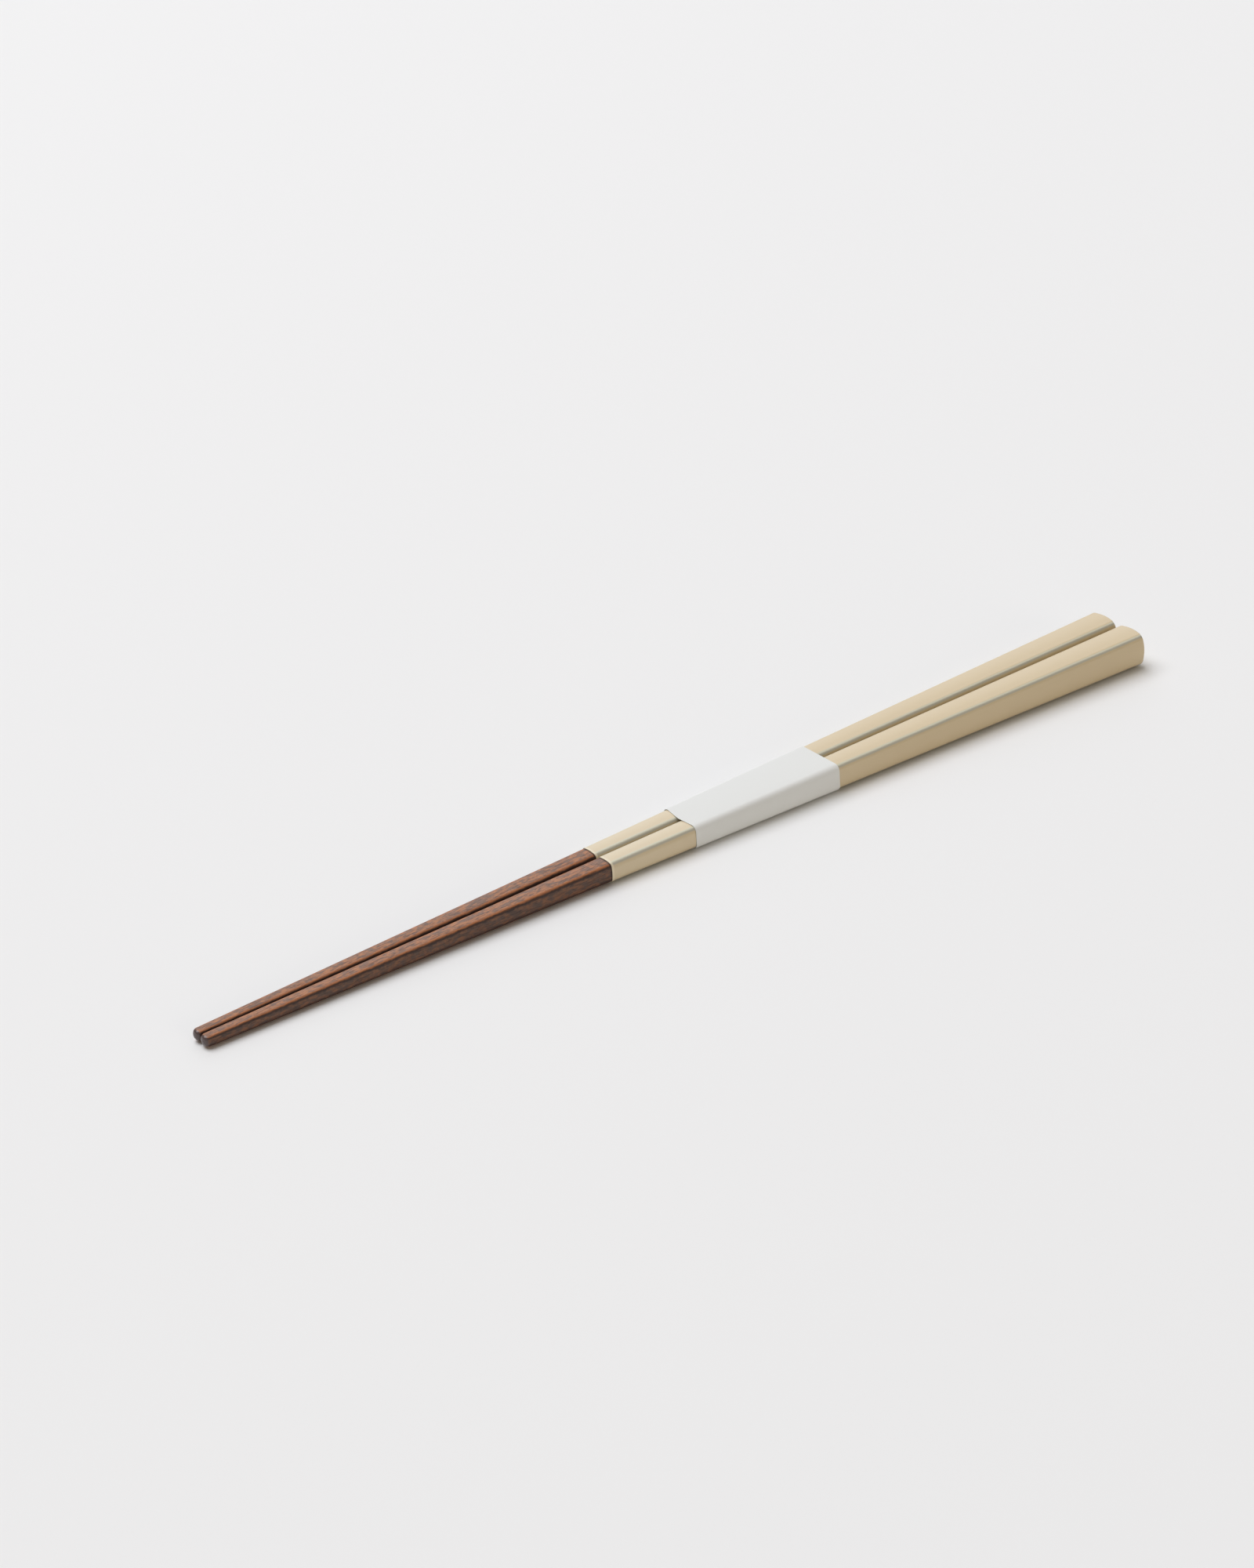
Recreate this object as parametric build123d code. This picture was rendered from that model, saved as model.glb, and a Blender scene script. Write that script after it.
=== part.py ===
from build123d import *
import os
from math import cos, radians, sin, sqrt

# A pair of square, tapering wooden chopsticks, dipped in lacquer over the handle half and held together
# by a plain paper band. They lie level and side by side on the band's underside: X runs from the tips
# (low) to the handle ends (high), the front stick is on the -Y side, and Z points up from the floor.
# The origin is under the middle of the pair. All sizes are in millimetres.

# The bare wooden stick, without its lacquer
stick_length = 229.9
tip_width = 2.43
tip_height = 2.28
tip_corner_radius = 0.7
tip_dome_radius = 2.5
tip_edge_rounding = 0.3
handle_width = 7.5
handle_height = 7.2
handle_corner_radius = 1.4

# The handle end bulges as part of a ball, and its edge is softened
end_dome_radius = 11.5
end_edge_rounding = 0.5

# The lacquer coat, from its rim on the bare wood to the closed handle end
bare_wood_length = 92.3
lacquer_thickness = 0.1
rim_bevel = 0.06

# The undercoat that shows as a line down each lacquered corner, as wide as these at its two ends
line_width_at_rim = 1.4
line_width_at_end = 1.1

# The sticks' places beside each other, measured between their facing sides
tip_gap = 0.2
handle_gap = 0.6

# The paper band, set back from the lacquer's rim, with its two ends glued over each other underneath
band_setback = 20.0
band_length = 36.0
paper_thickness = 0.1
band_slack = 0.05
overlap_width = 7.0

# Places that follow from the sizes above
pair_length = stick_length + lacquer_thickness
tip_x = -pair_length / 2
wood_end_x = tip_x + stick_length
pair_end_x = tip_x + pair_length
rim_x = tip_x + bare_wood_length
band_start_x = rim_x + band_setback
band_end_x = band_start_x + band_length
wood_base_z = 2 * paper_thickness + lacquer_thickness
wood_gap_at_handle = handle_gap + 2 * lacquer_thickness
end_stretch = handle_width / 2

FRONT = -1
BACK = 1


def taper(at_tip, at_handle, x):
    """A size that changes evenly from the tip to the handle end of the bare stick."""
    return at_tip + (at_handle - at_tip) * (x - tip_x) / stick_length


def wood_width(x):
    return taper(tip_width, handle_width, x)


def wood_height(x):
    return taper(tip_height, handle_height, x)


def wood_radius(x):
    return taper(tip_corner_radius, handle_corner_radius, x)


def stick_centre(x, side):
    """The middle of the stick's section: its underside is level and its inner side lies along the gap."""
    half_gap = taper(tip_gap, wood_gap_at_handle, x) / 2
    return Vector(x, side * (half_gap + wood_width(x) / 2), wood_base_z + wood_height(x) / 2)


def cross_plane(centre):
    """A plane square to X: its own x runs along Y, and its own y runs up."""
    return Plane(origin=centre, x_dir=(0, 1, 0), z_dir=(1, 0, 0))


def stick_section(x, side, coat):
    """The rounded square section at x, grown by the thickness of a coat."""
    outline = RectangleRounded(
        wood_width(x) + 2 * coat,
        wood_height(x) + 2 * coat,
        wood_radius(x) + coat,
    )
    return cross_plane(stick_centre(x, side)) * outline


def tapered_bar(stations, side, coat):
    """A tapering bar with a short stretch beside a rounded end, so that the end cuts only into short faces."""
    sections = [stick_section(x, side, coat) for x in stations]
    return loft(sections, ruled=True)


def dome_trim(apex_x, direction, radius, side):
    """What is cut away round a ball of this radius, so that a stick's end bulges to apex_x."""
    ball_x = apex_x - direction * radius
    centre = stick_centre(ball_x, side)
    reach = 4 * radius
    block_x = ball_x + direction * reach / 2
    block = Pos(block_x, centre.Y, centre.Z) * Box(reach, reach, reach)
    # The ball's own poles are turned half way to the stick, clear of the end, so that any radius cuts well
    ball = Rot(0, 45, 0) * Sphere(radius)
    return block - Pos(centre.X, centre.Y, centre.Z) * ball


def end_edges(shape, apex_x, dome_radius):
    """The edges round a domed end: no point of them lies further back than the section's corners would."""
    half_width = wood_width(apex_x) / 2 + lacquer_thickness
    half_height = wood_height(apex_x) / 2 + lacquer_thickness
    depth = dome_radius - sqrt(dome_radius**2 - half_width**2 - half_height**2)
    return shape.edges().filter_by(
        lambda edge: all(abs(vertex.X - apex_x) < depth for vertex in edge.vertices())
    )


def round_tip(bar, side):
    trimmed = bar - dome_trim(tip_x, -1, tip_dome_radius, side)
    return fillet(end_edges(trimmed, tip_x, tip_dome_radius), tip_edge_rounding)


def dome_handle_end(bar, apex_x, inset, side):
    """The ball-shaped handle end, or the same form one coat further in."""
    return bar - dome_trim(apex_x, 1, end_dome_radius - inset, side)


def wooden_stick(side):
    """One piece of wood from its tip to the handle end inside the lacquer."""
    stations = (tip_x, tip_x + end_stretch, wood_end_x - end_stretch, wood_end_x)
    bar = tapered_bar(stations, side, 0)
    return dome_handle_end(round_tip(bar, side), wood_end_x, lacquer_thickness, side)


def full_lacquer(side, wood):
    """The whole coat: a thin closed-ended sleeve over the wood, with a bevelled rim."""
    bevel_end_x = rim_x + rim_bevel
    rim_sections = [
        stick_section(rim_x, side, lacquer_thickness - rim_bevel),
        stick_section(bevel_end_x, side, lacquer_thickness),
    ]
    bar = tapered_bar((bevel_end_x, pair_end_x - end_stretch, pair_end_x), side, lacquer_thickness)
    bar = dome_handle_end(bar, pair_end_x, 0, side)
    bar = fillet(end_edges(bar, pair_end_x, end_dome_radius), end_edge_rounding)
    return bar + loft(rim_sections, ruled=True) - wood


def corner_wedge_section(x, side, y_sign, z_sign, line_width):
    """A triangle from the corner's arc centre outwards, which spans the line's width on the coat."""
    centre = stick_centre(x, side)
    arc_y = centre.Y + y_sign * (wood_width(x) / 2 - wood_radius(x))
    arc_z = centre.Z + z_sign * (wood_height(x) / 2 - wood_radius(x))
    coat_radius = wood_radius(x) + lacquer_thickness
    half_angle = line_width / (2 * coat_radius)
    reach = 2 * coat_radius
    middle = radians(45)
    points = [(x, arc_y, arc_z)]
    for angle in (middle - half_angle, middle + half_angle):
        points.append((x, arc_y + y_sign * reach * cos(angle), arc_z + z_sign * reach * sin(angle)))
    return make_face(Polyline(*points, close=True))


def corner_wedge(side, y_sign, z_sign):
    sections = [
        corner_wedge_section(rim_x, side, y_sign, z_sign, line_width_at_rim),
        corner_wedge_section(pair_end_x, side, y_sign, z_sign, line_width_at_end),
    ]
    return loft(sections, ruled=True)


def lacquer_and_lines(side, wood):
    """The coat, parted into the lacquer and the four corner lines that lie flush in it."""
    coat = full_lacquer(side, wood)
    lines = []
    for y_sign in (-1, 1):
        for z_sign in (-1, 1):
            wedge = corner_wedge(side, y_sign, z_sign)
            lines.append(coat & wedge)
            coat = coat - wedge
    return coat, lines


def pair_section(x, slack, growth):
    """The rounded outline round both lacquered sticks at x, which the paper follows."""
    coat = lacquer_thickness
    width = 2 * wood_width(x) + taper(tip_gap, wood_gap_at_handle, x) + 2 * coat + 2 * slack
    height = wood_height(x) + 2 * coat + slack
    radius = wood_radius(x) + coat + slack
    outline = RectangleRounded(width + 2 * growth, height + 2 * growth, radius + growth)
    base_z = wood_base_z - coat
    return cross_plane((x, 0, base_z + height / 2)) * outline


def wrapped_paper(growth):
    sections = [
        pair_section(band_start_x, band_slack, growth),
        pair_section(band_end_x, band_slack, growth),
    ]
    return loft(sections, ruled=True)


def paper_band():
    """One strip of paper wrapped round both sticks, its outer end glued under its inner one."""
    sleeve = wrapped_paper(paper_thickness) - wrapped_paper(0)
    band_middle_x = (band_start_x + band_end_x) / 2
    glued_end = Pos(band_middle_x, 0, paper_thickness / 2) * Box(
        band_length, overlap_width, paper_thickness
    )
    return sleeve + glued_end


def save(shape, name):
    shape.label = name
    export_step(shape, f"parts/{name}.step")


os.makedirs("parts", exist_ok=True)

for name, side in (("front", FRONT), ("back", BACK)):
    wood = wooden_stick(side)
    lacquer, lines = lacquer_and_lines(side, wood)
    save(wood, f"{name}_stick")
    save(lacquer, f"{name}_lacquer")
    save(Compound(children=[part for line in lines for part in line.solids()]), f"{name}_corner_lines")

save(paper_band(), "paper_band")
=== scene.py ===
"""The looks of a pair of tapering wooden chopsticks with lacquered handles, held together by a paper band.

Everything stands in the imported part's own frame: X runs from the tips to the handle ends, the front stick is
on the -Y side, and Z points up from the floor. Shapes are worked out in millimetres and put into the meshes
in metres.
"""

import logging
from dataclasses import dataclass, field
from enum import Enum, IntEnum

import bpy
import numpy as np
from bpy.types import Material, Mesh, Node, NodeSocket, NodeTree, Object
from mathutils import Matrix, Vector

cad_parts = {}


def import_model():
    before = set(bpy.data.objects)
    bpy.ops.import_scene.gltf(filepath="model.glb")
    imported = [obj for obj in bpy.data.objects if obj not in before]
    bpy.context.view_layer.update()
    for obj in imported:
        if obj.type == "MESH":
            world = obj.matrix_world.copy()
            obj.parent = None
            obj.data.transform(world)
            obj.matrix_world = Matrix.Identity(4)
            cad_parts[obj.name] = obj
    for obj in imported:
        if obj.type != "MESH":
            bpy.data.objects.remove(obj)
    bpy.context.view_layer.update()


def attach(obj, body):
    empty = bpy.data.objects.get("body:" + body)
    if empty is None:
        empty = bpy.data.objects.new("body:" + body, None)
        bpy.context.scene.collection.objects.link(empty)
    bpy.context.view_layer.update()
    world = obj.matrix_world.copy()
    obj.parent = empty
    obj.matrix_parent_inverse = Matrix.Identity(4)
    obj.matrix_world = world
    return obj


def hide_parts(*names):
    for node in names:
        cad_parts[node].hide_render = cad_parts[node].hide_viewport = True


# One millimetre in metres
MM = 0.001
log = logging.getLogger("chopsticks")


class StickSide(IntEnum):
    """Which of the two sticks, as the sign of its Y."""

    FRONT = -1
    BACK = 1


class Slot(Enum):
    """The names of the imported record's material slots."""

    WOOD = "bare_wood"
    LACQUER = "cream_lacquer"
    PAPER = "white_paper"


def linear_colour(hex_colour: str) -> tuple[float, float, float, float]:
    """Turns an sRGB hex colour into the linear colour that a shader socket holds.

    Args:
        hex_colour: Six hex digits after a hash sign.

    Returns:
        Red, green, blue and an alpha of 1, all linear.
    """
    encoded = np.array([int(hex_colour[i : i + 2], 16) for i in (1, 3, 5)]) / 255
    channels = np.where(encoded <= 0.04045, encoded / 12.92, ((encoded + 0.055) / 1.055) ** 2.4)
    return (*(float(channel) for channel in channels), 1.0)


def smooth_step(value: np.ndarray, start: float = 0.0, end: float = 1.0) -> np.ndarray:
    """Eases from 0 to 1 as the value goes from start to end, level at both ends: 3 t^2 - 2 t^3."""
    t = np.clip((value - start) / (end - start), 0, 1)
    return t * t * (3 - 2 * t)


def add_node(
    tree: NodeTree,
    kind: str,
    inputs: dict[str | int, object] | None = None,
    **settings: object,
) -> Node:
    """Adds one shader node with its settings, values and links.

    Args:
        tree: The node tree to add to.
        kind: Blender's name for the node type, without its ShaderNode prefix.
        inputs: For each input socket, by name or number, a value or another node's output socket.
        **settings: The node's own properties.

    Returns:
        The new node.
    """
    node = tree.nodes.new("ShaderNode" + kind)
    for name, value in settings.items():
        setattr(node, name, value)
    for socket, value in (inputs or {}).items():
        if isinstance(value, NodeSocket):
            tree.links.new(value, node.inputs[socket])
        else:
            node.inputs[socket].default_value = value
    return node


def empty_material(name: str) -> tuple[Material, NodeTree]:
    """Makes a material with no nodes.

    Args:
        name: The material's name.

    Returns:
        The material and its node tree.
    """
    material = bpy.data.materials.new(name)
    material.use_nodes = True
    material.node_tree.nodes.clear()
    return material, material.node_tree


def distance_past(tree: NodeTree, place: NodeSocket, start_x: float) -> NodeSocket:
    """Reads how far along X a point lies past a given place.

    Args:
        tree: The material's node tree.
        place: Object coordinates, in metres.
        start_x: The place to measure from, in millimetres.

    Returns:
        The distance in metres, negative before that place.
    """
    along = add_node(tree, "SeparateXYZ", {"Vector": place}).outputs["X"]
    distance = add_node(tree, "Math", {0: along, 1: start_x * MM}, operation="SUBTRACT")
    return distance.outputs["Value"]


def wavering(tree: NodeTree, value: NodeSocket, noise: NodeSocket, amount: float) -> NodeSocket:
    """Shifts a value by a noise, by up to half of the amount either way.

    Args:
        tree: The material's node tree.
        value: The value to shift.
        noise: A noise from 0 to 1.
        amount: The whole width of the shift.

    Returns:
        The shifted value's socket.
    """
    lowered = add_node(tree, "Math", {0: value, 1: amount / 2}, operation="SUBTRACT")
    shifted = add_node(
        tree, "Math", {0: noise, 1: amount, 2: lowered.outputs["Value"]}, operation="MULTIPLY_ADD"
    )
    return shifted.outputs["Value"]


def blended(
    tree: NodeTree,
    factor: NodeSocket,
    under: NodeSocket | tuple[float, float, float, float],
    over_hex: str,
    blend: str = "MIX",
) -> NodeSocket:
    """Lays a plain colour over another by a factor.

    Args:
        tree: The material's node tree.
        factor: How much of the plain colour shows.
        under: The colour underneath, as a socket or as a linear colour.
        over_hex: The plain colour, as sRGB hex.
        blend: How the two are mixed.

    Returns:
        The mixed colour's socket.
    """
    inputs = {"Factor": factor, "A": under, "B": linear_colour(over_hex)}
    return add_node(tree, "Mix", inputs, data_type="RGBA", blend_type=blend).outputs["Result"]


@dataclass(frozen=True)
class DrawnOutNoise:
    """Noise drawn out along X, as wood grain and runs of lacquer are, with its sizes in millimetres.

    Two noises with different shifts lie over each other without matching.
    """

    length: float
    width: float
    shift: float
    detail: float
    roughness: float = 0.5

    def over(self, tree: NodeTree, place: NodeSocket) -> NodeSocket:
        """Adds the noise to a material.

        Args:
            tree: The material's node tree.
            place: Object coordinates, in metres.

        Returns:
            The noise's grey output, from 0 to 1.
        """
        scale = (1 / (self.length * MM), 1 / (self.width * MM), 1 / (self.width * MM))
        mapping = add_node(tree, "Mapping", {"Vector": place, "Location": (self.shift,) * 3, "Scale": scale})
        noise = add_node(
            tree,
            "TexNoise",
            {
                "Vector": mapping.outputs["Vector"],
                "Scale": 1.0,
                "Detail": self.detail,
                "Roughness": self.roughness,
            },
        )
        return noise.outputs["Fac"]


@dataclass(frozen=True)
class Onset:
    """How a colour comes in as a noise rises: none up to the start, and the most from the end on."""

    start: float
    end: float
    most: float

    def over(self, tree: NodeTree, value: NodeSocket) -> NodeSocket:
        """Adds the easing to a material.

        Args:
            tree: The material's node tree.
            value: The noise to read.

        Returns:
            The colour's share as a socket.
        """
        share = add_node(
            tree,
            "MapRange",
            {"Value": value, "From Min": self.start, "From Max": self.end, "To Max": self.most},
            interpolation_type="SMOOTHSTEP",
        )
        return share.outputs["Result"]


@dataclass(frozen=True)
class Stripe:
    """A soft stripe: at its peak where a value is at the middle, easing to 0 a half width away from it."""

    middle: float
    half_width: float
    peak: float

    def over(self, tree: NodeTree, value: NodeSocket, unit: float = 1.0) -> NodeSocket:
        """Adds the stripe to a material.

        Args:
            tree: The material's node tree.
            value: The value to read.
            unit: What one of the stripe's own units is in the value's.

        Returns:
            The stripe's strength as a socket.
        """
        offset = add_node(tree, "Math", {0: value, 1: self.middle * unit}, operation="SUBTRACT")
        distance = add_node(tree, "Math", {0: offset.outputs["Value"]}, operation="ABSOLUTE")
        strength = add_node(
            tree,
            "MapRange",
            {
                "Value": distance.outputs["Value"],
                "From Max": self.half_width * unit,
                "To Min": self.peak,
                "To Max": 0.0,
            },
            interpolation_type="SMOOTHSTEP",
        )
        return strength.outputs["Result"]


@dataclass(frozen=True)
class SandedRosewood:
    """Rosewood, planed and sanded along the grain and wiped with a thin clear lacquer.

    It gives the eye fine lengthwise streaks and small clouds of red brown and greyish brown, open pores as
    short dark dashes, a painted shade line along each corner with a painted orange highlight beside it,
    painted shade on the side faces and beside the lacquer's rim, and dull faces.
    The end grain at the tip is darker and has soaked up enough lacquer to shine.
    """

    rim_x: float
    warm_brown: str = "#AF744A"
    cool_brown: str = "#7D5F4D"
    dark_streak: str = "#4F3020"
    # Painted shade: multiplied over the side faces to make them darker than the tops
    painted_side_shade: str = "#B4B3B6"
    # Painted shade, for the dark line along each corner and the dark strip beside the lacquer's rim
    painted_shade_brown: str = "#2A130B"
    # Painted highlight: an orange glow beside each corner's dark line
    painted_corner_highlight: str = "#B9713F"
    end_grain: str = "#5A4B49"
    roughness: float = 0.5
    end_roughness: float = 0.1
    ior: float = 1.5
    clouds: DrawnOutNoise = DrawnOutNoise(length=1.7, width=0.8, shift=7.7, detail=4.0, roughness=0.6)
    streaks: DrawnOutNoise = DrawnOutNoise(length=3.6, width=0.3, shift=3.1, detail=4.0, roughness=0.65)
    pores: DrawnOutNoise = DrawnOutNoise(length=1.0, width=0.2, shift=1.3, detail=1.0, roughness=0.4)
    cool_onset: Onset = Onset(start=0.4, end=0.6, most=1.0)
    streak_onset: Onset = Onset(start=0.46, end=0.66, most=0.62)
    pore_onset: Onset = Onset(start=0.56, end=0.72, most=0.6)
    streak_depth: float = 0.015
    streak_relief: float = 0.5
    # The corners' painted highlight and painted shade, in shares of the corner radius round from the corner's
    # middle, positive towards the top and bottom
    corner_highlight_stripe: Stripe = Stripe(middle=0.25, half_width=0.55, peak=0.6)
    corner_shade_stripe: Stripe = Stripe(middle=-0.4, half_width=0.6, peak=0.9)
    corner_waver: float = 1.0
    # Painted shade beside the lacquer's rim, in millimetres past the rim
    rim_shade_stripe: Stripe = Stripe(middle=-0.1, half_width=0.4, peak=0.8)
    rim_waver: float = 0.3

    def colour(self, tree: NodeTree, place: NodeSocket, streaks: NodeSocket) -> NodeSocket:
        """Builds the colour: clouded brown, streaks, pores, painted shade on the side faces, the corners'
        painted shade and highlight, painted shade at the rim, and the end grain.

        Args:
            tree: The material's node tree.
            place: Object coordinates.
            streaks: The streaks' noise.

        Returns:
            The colour's socket.
        """
        clouds = self.clouds.over(tree, place)
        pores = self.pores.over(tree, place)
        side_face, corner, end = (
            add_node(tree, "Attribute", attribute_name=name).outputs["Fac"]
            for name in ("side_face", "corner_reach", "end_face")
        )
        corner = wavering(tree, corner, clouds, self.corner_waver)
        past_rim = wavering(tree, distance_past(tree, place, self.rim_x), clouds, self.rim_waver * MM)
        base = linear_colour(self.warm_brown)
        colour = blended(tree, self.cool_onset.over(tree, clouds), base, self.cool_brown)
        colour = blended(tree, self.streak_onset.over(tree, streaks), colour, self.dark_streak)
        colour = blended(tree, self.pore_onset.over(tree, pores), colour, self.dark_streak)
        # Painted shade on the side faces
        colour = blended(tree, side_face, colour, self.painted_side_shade, "MULTIPLY")
        # Painted highlight beside each corner
        colour = blended(tree, self.corner_highlight_stripe.over(tree, corner), colour, self.painted_corner_highlight)
        # Painted shade along each corner
        colour = blended(tree, self.corner_shade_stripe.over(tree, corner), colour, self.painted_shade_brown)
        # Painted shade beside the lacquer's rim
        colour = blended(tree, self.rim_shade_stripe.over(tree, past_rim, MM), colour, self.painted_shade_brown)
        return blended(tree, end, colour, self.end_grain)

    def material(self) -> Material:
        """Builds the material: the colour, with the streaks sunk a little into the surface.

        Returns:
            The material.
        """
        material, tree = empty_material("sanded_rosewood")
        place = add_node(tree, "TexCoord").outputs["Object"]
        streaks = self.streaks.over(tree, place)
        end = add_node(tree, "Attribute", attribute_name="end_face").outputs["Fac"]
        roughness = add_node(
            tree, "MapRange", {"Value": end, "To Min": self.roughness, "To Max": self.end_roughness}
        )
        relief = add_node(
            tree,
            "Bump",
            {"Strength": self.streak_relief, "Distance": self.streak_depth * MM, "Height": streaks},
            invert=True,
        )
        shader = add_node(
            tree,
            "BsdfPrincipled",
            {
                "Base Color": self.colour(tree, place, streaks),
                "Roughness": roughness.outputs["Result"],
                "IOR": self.ior,
                "Normal": relief.outputs["Normal"],
            },
        )
        add_node(tree, "OutputMaterial", {"Surface": shader.outputs["BSDF"]})
        return material


@dataclass(frozen=True)
class DippedLacquer:
    """Cream urethane lacquer, dipped and cured over a grey undercoat that shows where it runs thin.

    It gives the eye an even semi-gloss cream with a painted sheen that pales it towards the rim, and a painted
    highlight on the bead where the dipped edge dried. A soft sage-grey line runs along each corner, with a
    pale edge towards the top or bottom, the undercoat's tint under a painted highlight, and an olive one
    towards the side.
    """

    rim_x: float
    cream: str = "#D2BF9A"
    # Painted sheen: a paler cream laid on most at the rim, fading towards the handle end
    painted_sheen_cream: str = "#DACAAA"
    undercoat: str = "#B1AD9D"
    # The undercoat's tint with a painted highlight, on the line's edge towards the top or bottom
    undercoat_highlight: str = "#D6D6C2"
    olive_cream: str = "#CFBD97"
    # Painted highlight on the bead beside the rim
    painted_bead_highlight: str = "#EBDFC3"
    roughness: float = 0.3
    ior: float = 1.5
    runs: DrawnOutNoise = DrawnOutNoise(length=7.0, width=1.5, shift=5.2, detail=2.0)
    # In half widths of the corner line from the corner's middle, positive towards the top and bottom
    olive_stripe: Stripe = Stripe(middle=-1.1, half_width=1.0, peak=0.7)
    # The pale edge: the undercoat's tint with a painted highlight
    undercoat_highlight_stripe: Stripe = Stripe(middle=0.75, half_width=1.0, peak=0.9)
    undercoat_stripe: Stripe = Stripe(middle=0.0, half_width=0.95, peak=1.0)
    line_waver: float = 0.35
    # Painted sheen and the bead's painted highlight, in millimetres past the rim
    sheen_stretch: Stripe = Stripe(middle=0.0, half_width=82.7, peak=1.0)
    bead_highlight_stripe: Stripe = Stripe(middle=0.2, half_width=0.45, peak=0.8)
    rim_waver: float = 0.3

    def material(self) -> Material:
        """Builds the material: the cream and its painted sheen, then the corner lines' three tones and the
        bead's painted highlight over it.

        Returns:
            The material.
        """
        material, tree = empty_material("dipped_cream_lacquer")
        place = add_node(tree, "TexCoord").outputs["Object"]
        runs = self.runs.over(tree, place)
        line = add_node(tree, "Attribute", attribute_name="line_reach").outputs["Fac"]
        line = wavering(tree, line, runs, self.line_waver)
        past_rim = wavering(tree, distance_past(tree, place, self.rim_x), runs, self.rim_waver * MM)
        base = linear_colour(self.cream)
        # Painted sheen, palest at the rim
        colour = blended(tree, self.sheen_stretch.over(tree, past_rim, MM), base, self.painted_sheen_cream)
        colour = blended(tree, self.olive_stripe.over(tree, line), colour, self.olive_cream)
        # The undercoat's tint with a painted highlight
        colour = blended(tree, self.undercoat_highlight_stripe.over(tree, line), colour, self.undercoat_highlight)
        colour = blended(tree, self.undercoat_stripe.over(tree, line), colour, self.undercoat)
        # Painted highlight on the bead
        colour = blended(tree, self.bead_highlight_stripe.over(tree, past_rim, MM), colour, self.painted_bead_highlight)
        shader = add_node(
            tree,
            "BsdfPrincipled",
            {"Base Color": colour, "Roughness": self.roughness, "IOR": self.ior},
        )
        add_node(tree, "OutputMaterial", {"Surface": shader.outputs["BSDF"]})
        return material


@dataclass(frozen=True)
class UncoatedPaper:
    """Uncoated white wood-free paper, cut from the sheet.

    It gives the eye a matt, faintly cool white with the soft clouding of its fibres.
    """

    white: str = "#E2E3DF"
    roughness: float = 0.75
    ior: float = 1.5
    fibres: DrawnOutNoise = DrawnOutNoise(length=0.6, width=0.6, shift=0.4, detail=4.0, roughness=0.65)
    fibre_depth: float = 0.01
    fibre_relief: float = 0.25

    def material(self) -> Material:
        """Builds the material: one plain white over the fibres' relief.

        Returns:
            The material.
        """
        material, tree = empty_material("uncoated_white_paper")
        place = add_node(tree, "TexCoord").outputs["Object"]
        fibres = self.fibres.over(tree, place)
        relief = add_node(
            tree,
            "Bump",
            {"Strength": self.fibre_relief, "Distance": self.fibre_depth * MM, "Height": fibres},
        )
        shader = add_node(
            tree,
            "BsdfPrincipled",
            {
                "Base Color": linear_colour(self.white),
                "Roughness": self.roughness,
                "IOR": self.ior,
                "Normal": relief.outputs["Normal"],
            },
        )
        add_node(tree, "OutputMaterial", {"Surface": shader.outputs["BSDF"]})
        return material


@dataclass(frozen=True)
class MattBackdropPaper:
    """A roll of pale photographic background paper. It gives the eye an even, matt ground."""

    pale_grey: str = "#EDEDEB"

    def material(self) -> Material:
        """Builds the material.

        Returns:
            The material.
        """
        material, tree = empty_material("matt_backdrop_paper")
        shader = add_node(tree, "BsdfDiffuse", {"Color": linear_colour(self.pale_grey)})
        add_node(tree, "OutputMaterial", {"Surface": shader.outputs["BSDF"]})
        return material


@dataclass
class Skin:
    """A closed surface before it becomes a mesh: its points in millimetres, faces and point attributes."""

    points: np.ndarray
    quads: np.ndarray
    triangles: np.ndarray = field(default_factory=lambda: np.zeros((0, 3), int))
    attributes: dict[str, np.ndarray] = field(default_factory=dict)

    def enclosed_volume(self) -> float:
        """Adds up a sixth of a . (b x c) over every triangle abc of the surface.

        Returns:
            The volume, which is negative where the faces point inwards.
        """
        split = [self.triangles, self.quads[:, [0, 1, 2]], self.quads[:, [0, 2, 3]]]
        a, b, c = (self.points[np.concatenate(split)[:, k]] for k in range(3))
        return float(np.einsum("ij,ij->i", a, np.cross(b, c)).sum() / 6)

    def mesh(self, name: str, sharp_angle_deg: float | None = None) -> Mesh:
        """Puts the surface into a smooth-shaded mesh whose faces point outwards.

        Args:
            name: The mesh's name.
            sharp_angle_deg: Edges that bend more than this are kept sharp; none are if it is left out.

        Returns:
            The mesh, in metres.
        """
        outwards = self.enclosed_volume() > 0
        quads = self.quads if outwards else self.quads[:, ::-1]
        triangles = self.triangles if outwards else self.triangles[:, ::-1]
        corners = np.concatenate([quads.ravel(), triangles.ravel()])
        sizes = np.concatenate([np.full(len(quads), 4), np.full(len(triangles), 3)])
        mesh = bpy.data.meshes.new(name)
        mesh.vertices.add(len(self.points))
        mesh.vertices.foreach_set("co", (self.points * MM).astype(np.float32).ravel())
        mesh.loops.add(len(corners))
        mesh.loops.foreach_set("vertex_index", corners.astype(np.int32))
        mesh.polygons.add(len(sizes))
        mesh.polygons.foreach_set("loop_start", (np.cumsum(sizes) - sizes).astype(np.int32))
        for attribute, values in self.attributes.items():
            layer = mesh.attributes.new(attribute, "FLOAT", "POINT")
            layer.data.foreach_set("value", values.astype(np.float32).ravel())
        mesh.update(calc_edges=True)
        mesh.validate()
        mesh.shade_smooth()
        if sharp_angle_deg is not None:
            mesh.set_sharp_from_angle(angle=np.radians(sharp_angle_deg))
        return mesh


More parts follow.
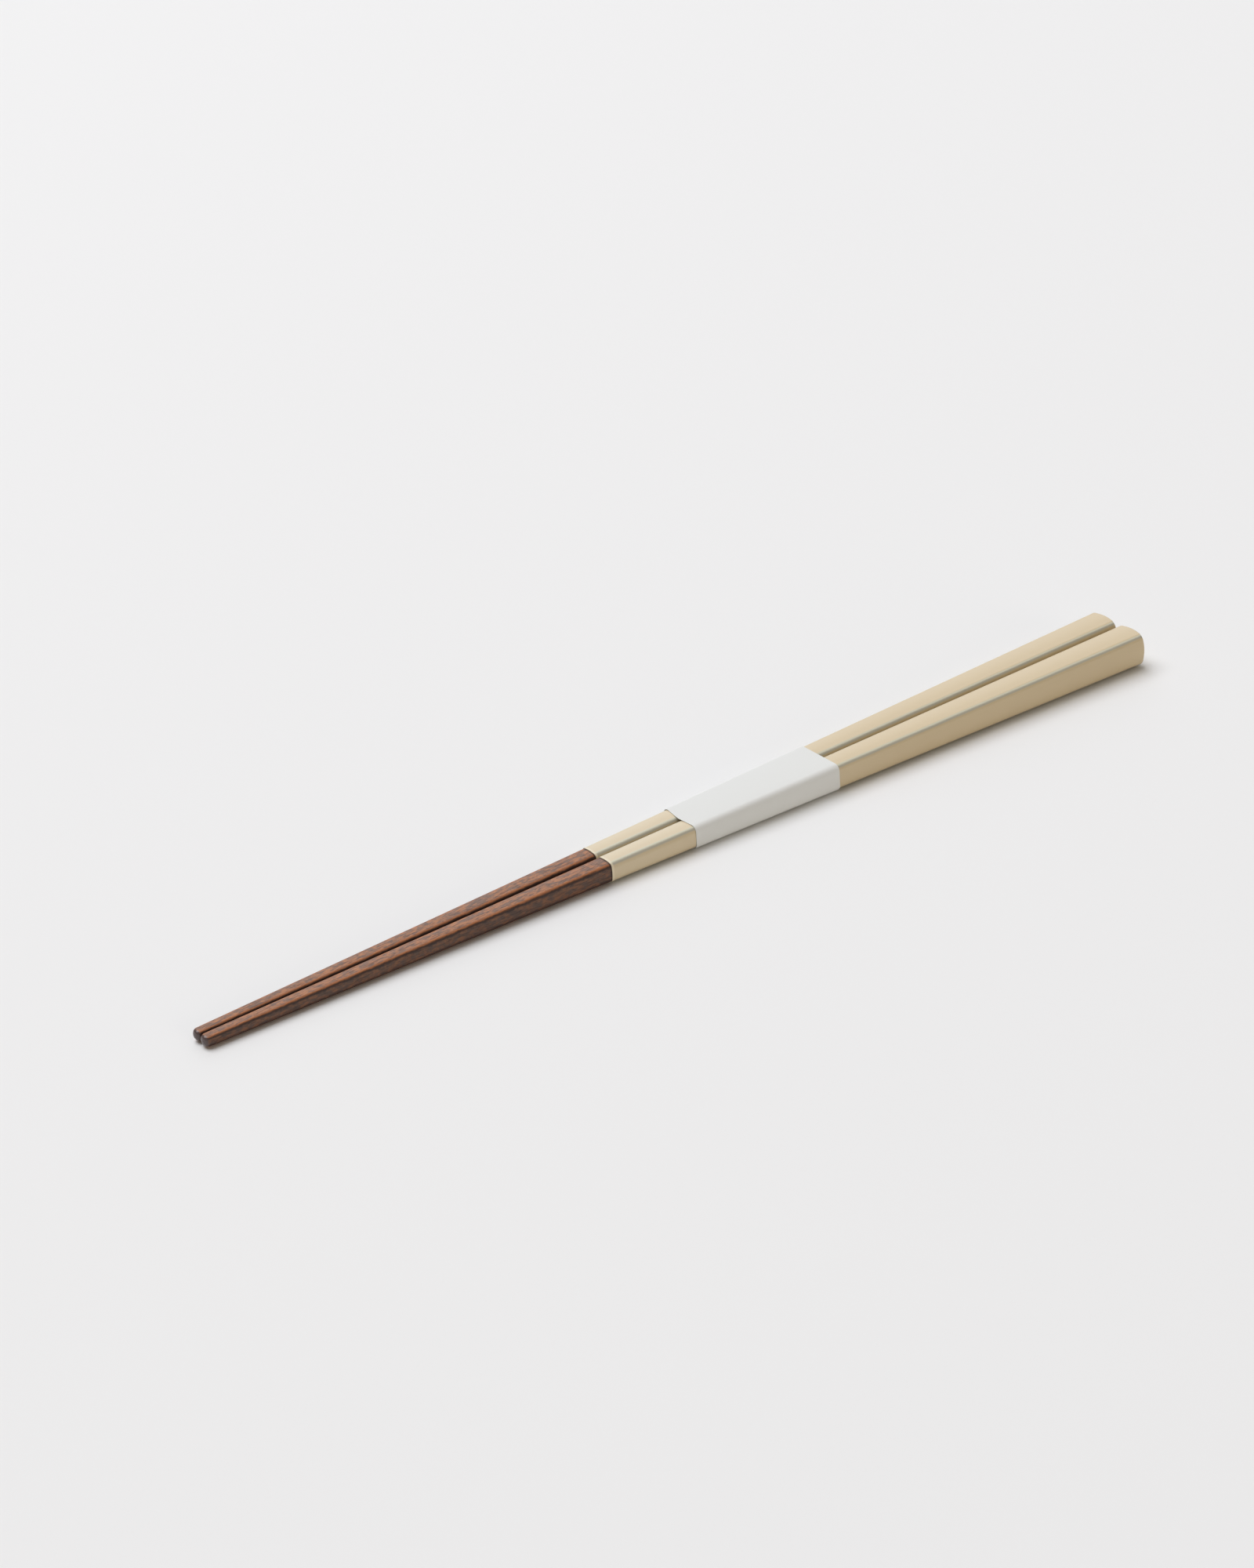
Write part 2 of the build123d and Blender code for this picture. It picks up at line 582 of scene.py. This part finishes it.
def polar_skin(rows: np.ndarray, attributes: dict[str, np.ndarray]) -> Skin:
    """Joins rings of points into a surface that closes at a pole before the first and after the last ring.

    The rings are the first index and the way round is the second. Each pole is the mean of its nearest ring.

    Args:
        rows: Points of shape (rings, around, 3), in millimetres.
        attributes: Values of shape (rings, around) for each attribute.

    Returns:
        The closed surface.
    """
    rings, around = rows.shape[:2]
    poles = np.stack([rows[0].mean(axis=0), rows[-1].mean(axis=0)])
    points = np.concatenate([rows.reshape(-1, 3), poles])
    here = np.arange(rings * around).reshape(rings, around)
    after = np.roll(here, -1, axis=1)
    quads = np.stack([here[:-1], after[:-1], after[1:], here[1:]], axis=-1).reshape(-1, 4)
    first, last = rings * around, rings * around + 1
    fan_first = np.stack([np.full(around, first), after[0], here[0]], axis=-1)
    fan_last = np.stack([np.full(around, last), here[-1], after[-1]], axis=-1)
    values = {
        name: np.concatenate([array.ravel(), [array[0].mean(), array[-1].mean()]])
        for name, array in attributes.items()
    }
    return Skin(points, quads, np.concatenate([fan_first, fan_last]), values)


@dataclass(frozen=True)
class OutlineStations:
    """Places once round a rounded rectangle, anticlockwise as seen from the handle end.

    A point of the outline is its core point plus the corner radius times its direction. Along a flat side the
    core point slides from one corner's centre to the next. In a corner it rests while the direction turns
    through a quarter. Core points are held as fractions of the way from the middle to a corner's centre.

    The corner angle is the turn from the nearest corner's middle, and the flat share is how much of a flat
    side lies between a point and the nearer corner. The face sign is 1 on the top, the bottom and the corner
    before each of them, and -1 on the other two faces and corners.
    """

    core_y: np.ndarray
    core_z: np.ndarray
    angle: np.ndarray
    corner_angle: np.ndarray
    flat_share: np.ndarray
    face_sign: np.ndarray

    @classmethod
    def spaced(cls, side_steps: int, corner_steps: int) -> "OutlineStations":
        """Spaces the stations evenly over each side and each corner.

        Args:
            side_steps: How many steps cross a flat side.
            corner_steps: How many steps turn a corner.

        Returns:
            The stations, starting at the +Y side's upper corner.
        """
        turn = np.arange(corner_steps) / corner_steps
        slide = np.arange(side_steps) / side_steps
        signs_y = np.array([1, -1, -1, 1])
        signs_z = np.array([1, 1, -1, -1])
        quarter = np.arange(4)[:, None]
        next_y, next_z = np.roll(signs_y, -1), np.roll(signs_z, -1)
        facing = np.where(quarter % 2 == 0, 1, -1)

        def joined(corner: np.ndarray, side: np.ndarray) -> np.ndarray:
            """Puts each corner's values before those of the side that follows it."""
            blocks = [np.broadcast_to(corner, (4, corner_steps)), np.broadcast_to(side, (4, side_steps))]
            return np.concatenate(blocks, axis=1).ravel()

        return cls(
            core_y=joined(signs_y[:, None], signs_y[:, None] + (next_y - signs_y)[:, None] * slide),
            core_z=joined(signs_z[:, None], signs_z[:, None] + (next_z - signs_z)[:, None] * slide),
            angle=np.pi / 2 * joined(quarter + turn, quarter + 1.0),
            corner_angle=joined(facing * np.pi / 2 * (turn - 0.5), facing * np.pi / 4),
            flat_share=joined(np.zeros((4, 1)), np.minimum(slide, 1 - slide)),
            face_sign=joined(facing, facing),
        )

    def corner_reach(self, form: "StickForm", x: np.ndarray, coat: float) -> np.ndarray:
        """The distance round the outline from the nearest corner's middle: its arc, then the flat side.

        Args:
            form: The stick's taper.
            x: Places along the stick, of shape (rings, around).
            coat: Thickness laid over the wood.

        Returns:
            The distance in millimetres, positive towards the top and bottom and negative towards the sides.
        """
        across = np.where(self.face_sign > 0, form.width(x), form.height(x))
        flat = self.face_sign * self.flat_share * (across - 2 * form.radius(x))
        return self.corner_angle * (form.radius(x) + coat) + flat


@dataclass(frozen=True)
class StickForm:
    """The stick's taper, its place beside the gap between the two, and where its lacquer lies.

    All sizes are in millimetres, and are the bare wood's unless they say otherwise. The crown is how far each
    face's edges lie behind its middle, as a share of the stick's width.
    """

    tip_x: float = -115.0
    length: float = 229.9
    tip_width: float = 2.43
    tip_height: float = 2.28
    tip_corner_radius: float = 0.7
    handle_width: float = 7.5
    handle_height: float = 7.2
    handle_corner_radius: float = 1.4
    end_ball_radius: float = 11.4
    end_edge_radius: float = 0.15
    crown: float = 0.02
    gap_at_tip: float = 0.2
    gap_at_handle: float = 0.8
    base_z: float = 0.3
    rim_x: float = -22.7
    lacquer: float = 0.1

    @property
    def end_x(self) -> float:
        """The furthest point of the wood's handle end."""
        return self.tip_x + self.length

    def taper(self, at_tip: float, at_handle: float, x: np.ndarray) -> np.ndarray:
        """A size that changes evenly from the tip to the handle end."""
        return at_tip + (at_handle - at_tip) * (x - self.tip_x) / self.length

    def width(self, x: np.ndarray) -> np.ndarray:
        """The stick's size along Y at x."""
        return self.taper(self.tip_width, self.handle_width, x)

    def height(self, x: np.ndarray) -> np.ndarray:
        """The stick's size along Z at x."""
        return self.taper(self.tip_height, self.handle_height, x)

    def radius(self, x: np.ndarray) -> np.ndarray:
        """The corner radius at x."""
        return self.taper(self.tip_corner_radius, self.handle_corner_radius, x)

    def half_gap(self, x: np.ndarray) -> np.ndarray:
        """Half of the space between the two sticks' wood at x."""
        return self.taper(self.gap_at_tip, self.gap_at_handle, x) / 2

    def offsets(
        self, x: np.ndarray, coat: np.ndarray, stations: OutlineStations
    ) -> tuple[np.ndarray, np.ndarray]:
        """How far the outline lies from the stick's middle line.

        It is the core point plus the radius and coat along the direction, less the crown times the square of
        how far the core point has slid from the middle of its side to a corner.

        Args:
            x: Places along the stick, broadcastable with the stations.
            coat: Thickness laid over the wood there.
            stations: The places round the outline.

        Returns:
            The offsets along Y and Z.
        """
        radius = self.radius(x)
        slid = np.minimum(np.abs(stations.core_y), np.abs(stations.core_z))
        outwards = radius + coat - self.crown * self.width(x) * slid**2
        along_y = stations.core_y * (self.width(x) / 2 - radius) + outwards * np.cos(stations.angle)
        along_z = stations.core_z * (self.height(x) / 2 - radius) + outwards * np.sin(stations.angle)
        return along_y, along_z

    def place(
        self,
        x: np.ndarray,
        coat: np.ndarray,
        share: np.ndarray,
        side: StickSide,
        stations: OutlineStations,
    ) -> np.ndarray:
        """Points of the stick's surface: its middle line plus a share of the outline's offsets.

        Args:
            x: Places along the stick, of shape (rings, around).
            coat: Thickness laid over the wood there.
            share: How far out from the middle line each point is, 1 on the outline itself.
            side: Which stick.
            stations: The places round the outline.

        Returns:
            Points of shape (rings, around, 3).
        """
        along_y, along_z = self.offsets(x, coat, stations)
        middle_y = side * (self.half_gap(x) + self.width(x) / 2)
        middle_z = self.base_z + self.height(x) / 2
        return np.stack([x, middle_y + share * along_y, middle_z + share * along_z], axis=-1)


@dataclass(frozen=True)
class RoundedEnd:
    """A stick's end that bulges as part of a ball and whose edge is softened.

    At a distance r from the middle line and q in from the edge, the surface lies behind the furthest point by
    ball - sqrt(ball^2 - r^2), plus edge - sqrt(edge^2 - (edge - q)^2) while q is less than the edge rounding.
    """

    apex_x: float
    direction: int
    ball_radius: float
    edge_radius: float
    edge_steps: int = 6
    cap_steps: int = 8

    @classmethod
    def of_wood(cls, form: StickForm) -> "RoundedEnd":
        """The wood's handle end, which the lacquer's inner wall follows."""
        return cls(form.end_x, 1, form.end_ball_radius, form.end_edge_radius)

    def depth(self, reach: np.ndarray, inset: np.ndarray) -> np.ndarray:
        """How far behind the furthest point the surface lies.

        Args:
            reach: The distance from the middle line to the outline.
            inset: The distance in from the outline.

        Returns:
            The depth along X.
        """
        distance = reach - inset
        bulge = self.ball_radius - np.sqrt(self.ball_radius**2 - distance**2)
        overlap = np.clip(self.edge_radius - inset, 0, self.edge_radius)
        return bulge + self.edge_radius - np.sqrt(self.edge_radius**2 - overlap**2)

    def rings(
        self, form: StickForm, coat: float, stations: OutlineStations
    ) -> tuple[np.ndarray, np.ndarray]:
        """Rings from the softened edge's foot on the stick's side to just before the pole.

        Args:
            form: The stick's taper.
            coat: Thickness laid over the wood.
            stations: The places round the outline.

        Returns:
            X and the share of the way out from the middle line, both of shape (rings, around).
        """
        along_y, along_z = form.offsets(np.array(self.apex_x), np.array(coat), stations)
        reach = np.hypot(along_y, along_z)[None, :]
        turn = np.linspace(0, np.pi / 2, self.edge_steps + 1)[:, None]
        edge_inset = np.broadcast_to(self.edge_radius * (1 - np.cos(turn)), (len(turn), reach.shape[1]))
        inwards = (np.arange(1, self.cap_steps) / self.cap_steps)[:, None]
        cap_inset = self.edge_radius + (reach - self.edge_radius) * inwards
        inset = np.concatenate([edge_inset, cap_inset])
        x = self.apex_x - self.direction * self.depth(reach, inset)
        return x, 1 - inset / reach


@dataclass
class WoodenStick:
    """The bare wooden stick, from its rounded tip to the handle end inside the lacquer.

    The painted shade on the side faces eases in as the surface turns sideways, between two sizes of its
    direction's
    Y. The end grain eases in over a first share of the way in from the tip's outline.
    """

    side: StickSide
    form: StickForm
    finish: SandedRosewood
    tip_ball_radius: float = 1.9
    tip_edge_radius: float = 0.45
    side_shade_start: float = 1 / 6
    side_shade_end: float = 5 / 6
    end_grain_share: float = 0.125
    ring_spacing: float = 1.0
    side_steps: int = 6
    corner_steps: int = 8

    def skin(self) -> Skin:
        """Carries the rounded square outline along the stick, between a ring-by-ring cap at each end.

        Returns:
            The closed surface.
        """
        stations = OutlineStations.spaced(self.side_steps, self.corner_steps)
        tip = RoundedEnd(self.form.tip_x, -1, self.tip_ball_radius, self.tip_edge_radius)
        tip_x, tip_share = tip.rings(self.form, 0.0, stations)
        end_x, end_share = RoundedEnd.of_wood(self.form).rings(self.form, 0.0, stations)
        count = int(self.form.length / self.ring_spacing)
        along = (np.arange(1, count) / count)[:, None]
        side_x = tip_x[0] + (end_x[0] - tip_x[0]) * along
        x = np.concatenate([tip_x[::-1], side_x, end_x])
        share = np.concatenate([tip_share[::-1], np.ones_like(side_x), end_share])
        sideways = np.abs(np.cos(stations.angle))
        side_face = smooth_step(sideways, self.side_shade_start, self.side_shade_end)
        attributes = {
            "side_face": np.broadcast_to(side_face, x.shape),
            "corner_reach": stations.corner_reach(self.form, x, 0.0) / self.form.radius(x),
            "end_face": np.where(x < side_x[0], smooth_step(1 - share, 0.0, self.end_grain_share), 0.0),
        }
        points = self.form.place(x, np.zeros_like(x), share, self.side, stations)
        return polar_skin(points, attributes)

    def build(self) -> Object:
        """Builds and dresses the stick.

        Returns:
            The piece.
        """
        stick = self.side.name.lower()
        name = f"{stick}_wood"
        piece = add_piece(name, self.skin().mesh(name), self.finish.material())
        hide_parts(f"{stick}_stick")
        return piece


@dataclass
class LacquerCoat:
    """The lacquer over the handle half: a thin sleeve with a beaded rim and a closed, domed end.

    A few close rings beside the rim carry the bead, each a small share of the side's length past the last.
    """

    side: StickSide
    form: StickForm
    finish: DippedLacquer
    bead_height: float = 0.03
    bead_length: float = 0.6
    edge_radius: float = 0.25
    line_half_width_at_rim: float = 0.62
    line_half_width_at_end: float = 0.47
    narrow_line_share: float = 0.75
    ring_spacing: float = 1.0
    bead_rings: int = 4
    bead_ring_share: float = 0.001
    side_steps: int = 6
    corner_steps: int = 12
    rim_steps: int = 6

    def coat_over(self, x: np.ndarray) -> np.ndarray:
        """The coat's thickness at x: even, with a low bead where the dip line dried."""
        past_bead = smooth_step(x - self.form.rim_x, 0.0, self.bead_length)
        return self.form.lacquer + self.bead_height * (1 - past_bead)

    def line_reach(self, x: np.ndarray, stations: OutlineStations) -> np.ndarray:
        """The distance round the outline from the nearest corner's middle, over the line's half width there.

        The half width changes evenly along the stick. It is narrowed where the face sign is 1: on the upper
        +Y and the lower -Y corner, and on the top and bottom.

        Args:
            x: Places along the stick, of shape (rings, around).
            stations: The places round the outline.

        Returns:
            The distance, positive towards the top and bottom and negative towards the sides.
        """
        along = (x - self.form.rim_x) / (self.form.end_x - self.form.rim_x)
        half_width = self.line_half_width_at_rim + along * (
            self.line_half_width_at_end - self.line_half_width_at_rim
        )
        share = np.where(stations.face_sign > 0, self.narrow_line_share, 1.0)
        return stations.corner_reach(self.form, x, self.form.lacquer) / (half_width * share)

    def skin(self) -> Skin:
        """Carries the outline from the inner pole along the inner wall, round the rim and back outside.

        The rim is half a circle as high as the coat and its bead together.

        Returns:
            The closed surface.
        """
        form = self.form
        stations = OutlineStations.spaced(self.side_steps, self.corner_steps)
        outer_end = RoundedEnd(
            form.end_x + form.lacquer, 1, form.end_ball_radius + form.lacquer, self.edge_radius
        )
        inner_x, inner_share = RoundedEnd.of_wood(form).rings(form, 0.0, stations)
        outer_x, outer_share = outer_end.rings(form, form.lacquer, stations)
        turn = np.linspace(0, np.pi, self.rim_steps + 1)[:, None]
        rim_radius = (form.lacquer + self.bead_height) / 2
        rim_x = np.broadcast_to(
            form.rim_x + rim_radius * (1 - np.sin(turn)), (len(turn), len(stations.angle))
        )
        count = int((outer_end.apex_x - form.rim_x) / self.ring_spacing)
        over_bead = self.bead_ring_share * np.arange(1, self.bead_rings + 1)
        along = np.concatenate([over_bead, np.arange(1, count) / count])[:, None]
        inner_side_x = inner_x[0] + (rim_x[0] - inner_x[0]) * (1 - along[::-1])
        outer_side_x = rim_x[-1] + (outer_x[0] - rim_x[-1]) * along
        # Each stretch is: x, the share of the way out, and the thickness over the wood
        stretches = [
            (inner_x[::-1], inner_share[::-1], 0.0),
            (inner_side_x, 1.0, 0.0),
            (rim_x, 1.0, rim_radius * (1 - np.cos(turn))),
            (outer_side_x, 1.0, self.coat_over(outer_side_x)),
            (outer_x, outer_share, form.lacquer),
        ]
        x, share, coat = (
            np.concatenate([np.broadcast_to(stretch[k], stretch[0].shape) for stretch in stretches])
            for k in range(3)
        )
        points = form.place(x, coat, share, self.side, stations)
        return polar_skin(points, {"line_reach": self.line_reach(x, stations)})

    def build(self) -> Object:
        """Builds and dresses the coat.

        Returns:
            The piece.
        """
        stick = self.side.name.lower()
        name = f"{stick}_coat"
        piece = add_piece(name, self.skin().mesh(name), self.finish.material())
        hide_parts(f"{stick}_lacquer", f"{stick}_corner_lines")
        return piece


@dataclass
class PaperBand:
    """One strip of paper wrapped round both sticks, its outer end glued under its inner one.

    It starts a setback past the lacquer's rim. Its cut on the tips' side runs askew: the leans are how far it
    lies towards the handle at the +Y and the -Y corners, measured from its place in the middle.
    """

    form: StickForm
    finish: UncoatedPaper
    setback: float = 20.0
    length: float = 36.0
    thickness: float = 0.1
    slack: float = 0.02
    overlap: float = 7.0
    far_lean: float = 0.65
    near_lean: float = 0.25
    top_bow: float = 0.1
    side_bow: float = 0.14
    corner_steps: int = 10
    long_steps: int = 24
    short_steps: int = 12
    sharp_angle_deg: float = 40.0

    def path(self) -> dict[str, np.ndarray]:
        """The strip's way round the pair, from its inner end underneath to its outer end underneath.

        Over each face the bow is its most in the middle, times one less the square of the way to a corner.

        Returns:
            For each station: the core point's share of the corner's Y and Z, a distance added to Y, the
            direction's angle, how far the strip has dropped under its inner end, and how much it bows out.
        """
        half = self.overlap / 2
        # Each leg is: steps, core y, core z, added y, quarter turns and drop, each from its start to its end
        legs = [
            (self.long_steps, (0, 1), (-1, -1), (-half, 0), (3, 3), (0, 0)),
            (self.corner_steps, (1, 1), (-1, -1), (0, 0), (3, 4), (0, 0)),
            (self.short_steps, (1, 1), (-1, 1), (0, 0), (4, 4), (0, 0)),
            (self.corner_steps, (1, 1), (1, 1), (0, 0), (4, 5), (0, 0)),
            (self.long_steps, (1, -1), (1, 1), (0, 0), (5, 5), (0, 0)),
            (self.corner_steps, (-1, -1), (1, 1), (0, 0), (5, 6), (0, 0)),
            (self.short_steps, (-1, -1), (1, -1), (0, 0), (6, 6), (0, 0)),
            (self.corner_steps, (-1, -1), (-1, -1), (0, 0), (6, 7), (0, 0)),
            (self.corner_steps, (-1, 0), (-1, -1), (0, -half), (7, 7), (0, 1)),
            (self.long_steps, (0, 0), (-1, -1), (-half, half), (7, 7), (1, 1)),
        ]
        columns: list[list[np.ndarray]] = [[], [], [], [], []]
        for steps, *spans in legs:
            for column, (start, end) in zip(columns, spans):
                column.append(start + (end - start) * np.arange(steps) / steps)
        for column, (_, end) in zip(columns, legs[-1][1:]):
            column.append(np.array([float(end)]))
        core_y, core_z, added_y, quarters, drop = (np.concatenate(column) for column in columns)
        over_side = (quarters == 4) | (quarters == 6)
        over_top = quarters == 5
        return {
            "core_y": core_y,
            "core_z": core_z,
            "added_y": added_y,
            "angle": quarters * np.pi / 2,
            "drop": smooth_step(drop) * self.thickness,
            "bow": over_side * self.side_bow * (1 - core_z**2) + over_top * self.top_bow * (1 - core_y**2),
        }

    def face(self, x: np.ndarray, depth: float) -> np.ndarray:
        """One face of the strip, as a function of the place along the sticks and the way round them.

        A point is the core point plus the corner radius, the depth and the bow along the direction. The bow
        fades towards both cuts by the fourth power of the distance from the strip's middle.

        Args:
            x: Places along the sticks, of shape (rows, stations).
            depth: How far outside the strip's inner face the points lie.

        Returns:
            Points of shape (rows, stations, 3).
        """
        form = self.form
        way = self.path()
        radius = form.radius(x) + form.lacquer + self.slack
        half_width = form.half_gap(x) + form.width(x) + form.lacquer + self.slack
        height = form.height(x) + 2 * form.lacquer + self.slack
        from_middle = 2 * (x - form.rim_x - self.setback) / self.length - 1
        out = radius + depth + way["bow"] * (1 - from_middle**4)
        y = way["core_y"] * (half_width - radius) + way["added_y"] + out * np.cos(way["angle"])
        z = way["core_z"] * (height / 2 - radius) + out * np.sin(way["angle"]) - way["drop"]
        middle_z = form.base_z - form.lacquer + height / 2
        return np.stack([np.broadcast_to(x, y.shape), y, middle_z + z], axis=-1)

    def skin(self) -> Skin:
        """Joins the strip's outer and inner faces round its four cut edges.

        Returns:
            The closed surface.
        """
        rows = int(self.length) + 1
        across = self.path()["core_y"]
        lean = np.where(across > 0, self.far_lean, -self.near_lean) * across
        share = np.linspace(0, 1, rows)[:, None]
        x = self.form.rim_x + self.setback + self.length * share + lean * (1 - share)
        outer = self.face(x, self.thickness)
        inner = self.face(x, 0.0)
        loop = np.concatenate([outer, inner[:, ::-1]], axis=1)
        around = loop.shape[1]
        stations = outer.shape[1]
        here = np.arange(rows * around).reshape(rows, around)
        after = np.roll(here, -1, axis=1)
        walls = np.stack([here[:-1], after[:-1], after[1:], here[1:]], axis=-1).reshape(-1, 4)
        # The cuts at the two ends along X, which join each station's outer point to its inner one
        low = here[:, : stations - 1]
        high = here[:, ::-1][:, : stations - 1]
        cuts = []
        for row, step in ((0, 1), (-1, -1)):
            corners = [low[row], high[row], high[row] - 1, low[row] + 1]
            cuts.append(np.stack(corners[::step], axis=-1))
        return Skin(loop.reshape(-1, 3), np.concatenate([walls, *cuts]))

    def build(self) -> Object:
        """Builds and dresses the band.

        Returns:
            The piece.
        """
        name = "band_paper"
        mesh = self.skin().mesh(name, self.sharp_angle_deg)
        piece = add_piece(name, mesh, self.finish.material())
        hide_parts("paper_band")
        return piece


def add_piece(name: str, mesh: Mesh, material: Material) -> Object:
    """Puts a mesh into the scene as a piece of the object that rides on its one body.

    Args:
        name: The piece's name.
        mesh: Its mesh, in the row frame.
        material: What it is dressed in.

    Returns:
        The new object.
    """
    piece = bpy.data.objects.new(name, mesh)
    mesh.materials.append(material)
    bpy.context.scene.collection.objects.link(piece)
    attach(piece, "root")
    log.info("%s: %d faces", name, len(mesh.polygons))
    return piece


@dataclass
class ChopstickPair:
    """The whole object: two lacquered sticks side by side and the band round them."""

    form: StickForm = field(default_factory=StickForm)

    def build(self) -> None:
        """Builds every piece in turn."""
        for side in StickSide:
            WoodenStick(side, self.form, SandedRosewood(self.form.rim_x)).build()
            LacquerCoat(side, self.form, DippedLacquer(self.form.rim_x)).build()
        PaperBand(self.form, UncoatedPaper()).build()


@dataclass(frozen=True)
class Softbox:
    """A large square lamp that faces the middle of the pair. Its azimuth runs clockwise from +Y."""

    name: str
    azimuth_deg: float
    elevation_deg: float
    distance: float
    size: float
    radiance: float
    tint: str

    def add(self) -> None:
        """Places the lamp; its power in watts is the radiance times pi times its area."""
        azimuth, elevation = np.radians(self.azimuth_deg), np.radians(self.elevation_deg)
        towards = Vector(
            (
                np.sin(azimuth) * np.cos(elevation),
                np.cos(azimuth) * np.cos(elevation),
                np.sin(elevation),
            )
        )
        lamp = bpy.data.lights.new(self.name, "AREA")
        lamp.shape = "SQUARE"
        lamp.size = self.size
        lamp.color = linear_colour(self.tint)[:3]
        lamp.energy = self.radiance * np.pi * self.size**2
        holder = bpy.data.objects.new(self.name, lamp)
        holder.location = towards * self.distance
        holder.rotation_euler = towards.to_track_quat("Z", "Y").to_euler()
        bpy.context.scene.collection.objects.link(holder)


@dataclass
class Studio:
    """The pale floor, the lamps and the surrounding light, in metres but for the floor's drop in millimetres.

    The overhead softbox is the main light. The rear one stands where the tops mirror it to the camera and
    gives them their sheen, and the low fill in front lifts the near sides.
    """

    floor_size: float = 8.0
    floor_drop: float = 0.02
    surround: float = 0.25
    surround_tint: str = "#FFF7EB"
    softboxes: tuple[Softbox, ...] = (
        Softbox("overhead_softbox", -20.0, 66.0, 5.5, 4.4, 4.65, "#F4F6FD"),
        Softbox("rear_softbox", 32.0, 28.0, 5.5, 4.0, 1.25, "#F2F6FF"),
        Softbox("front_fill", 180.0, 12.0, 5.5, 2.2, 2.75, "#FFEEDD"),
    )

    def build(self) -> None:
        """Builds the floor, lamps and surrounding light."""
        half = self.floor_size / 2
        level = -self.floor_drop * MM
        corners = [(-half, -half, level), (half, -half, level), (half, half, level), (-half, half, level)]
        mesh = bpy.data.meshes.new("floor")
        mesh.from_pydata(corners, [], [(0, 1, 2, 3)])
        mesh.materials.append(MattBackdropPaper().material())
        floor = bpy.data.objects.new("floor", mesh)
        bpy.context.scene.collection.objects.link(floor)
        for softbox in self.softboxes:
            softbox.add()
        world = bpy.data.worlds.new("surrounding_light")
        world.use_nodes = True
        background = world.node_tree.nodes["Background"]
        background.inputs["Color"].default_value = linear_colour(self.surround_tint)
        background.inputs["Strength"].default_value = self.surround
        bpy.context.scene.world = world
        bpy.context.scene.view_settings.view_transform = "Standard"


@dataclass(frozen=True)
class Viewpoint:
    """A camera whose place was fitted to the measured edges of the pair.

    It looks at the target along a line that runs down by the elevation and clockwise from +Y by the azimuth.
    """

    azimuth_deg: float = 36.25
    elevation_deg: float = 28.32
    roll_deg: float = 3.33
    distance_mm: float = 941.8
    target_mm: tuple[float, float, float] = (4.22, 25.53, 0.11)
    lens_mm: float = 108.0
    sensor_mm: float = 36.0
    nearest_m: float = 0.05
    furthest_m: float = 20.0

    def add(self) -> None:
        """Places the camera and makes it the scene's own."""
        azimuth, elevation, roll = np.radians([self.azimuth_deg, self.elevation_deg, self.roll_deg])
        forward = np.array(
            [
                np.sin(azimuth) * np.cos(elevation),
                np.cos(azimuth) * np.cos(elevation),
                -np.sin(elevation),
            ]
        )
        level_right = np.array([np.cos(azimuth), -np.sin(azimuth), 0.0])
        level_down = np.cross(forward, level_right)
        right = np.cos(roll) * level_right + np.sin(roll) * level_down
        down = np.cos(roll) * level_down - np.sin(roll) * level_right
        eye = np.array(self.target_mm) - self.distance_mm * forward
        turned = Matrix(np.stack([right, -down, -forward], axis=1).tolist()).to_4x4()
        data = bpy.data.cameras.new("viewpoint")
        data.lens = self.lens_mm
        data.sensor_width = self.sensor_mm
        data.sensor_fit = "AUTO"
        data.clip_start, data.clip_end = self.nearest_m, self.furthest_m
        camera = bpy.data.objects.new("viewpoint", data)
        camera.matrix_world = Matrix.Translation(Vector(eye * MM)) @ turned
        bpy.context.scene.collection.objects.link(camera)
        bpy.context.scene.camera = camera


def main() -> None:
    """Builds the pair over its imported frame, then the studio and the camera."""
    logging.basicConfig(level=logging.INFO, format="%(name)s: %(message)s")
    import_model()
    ChopstickPair().build()
    Studio().build()
    Viewpoint().add()
    bpy.context.view_layer.update()


if __name__ == "__main__":
    main()
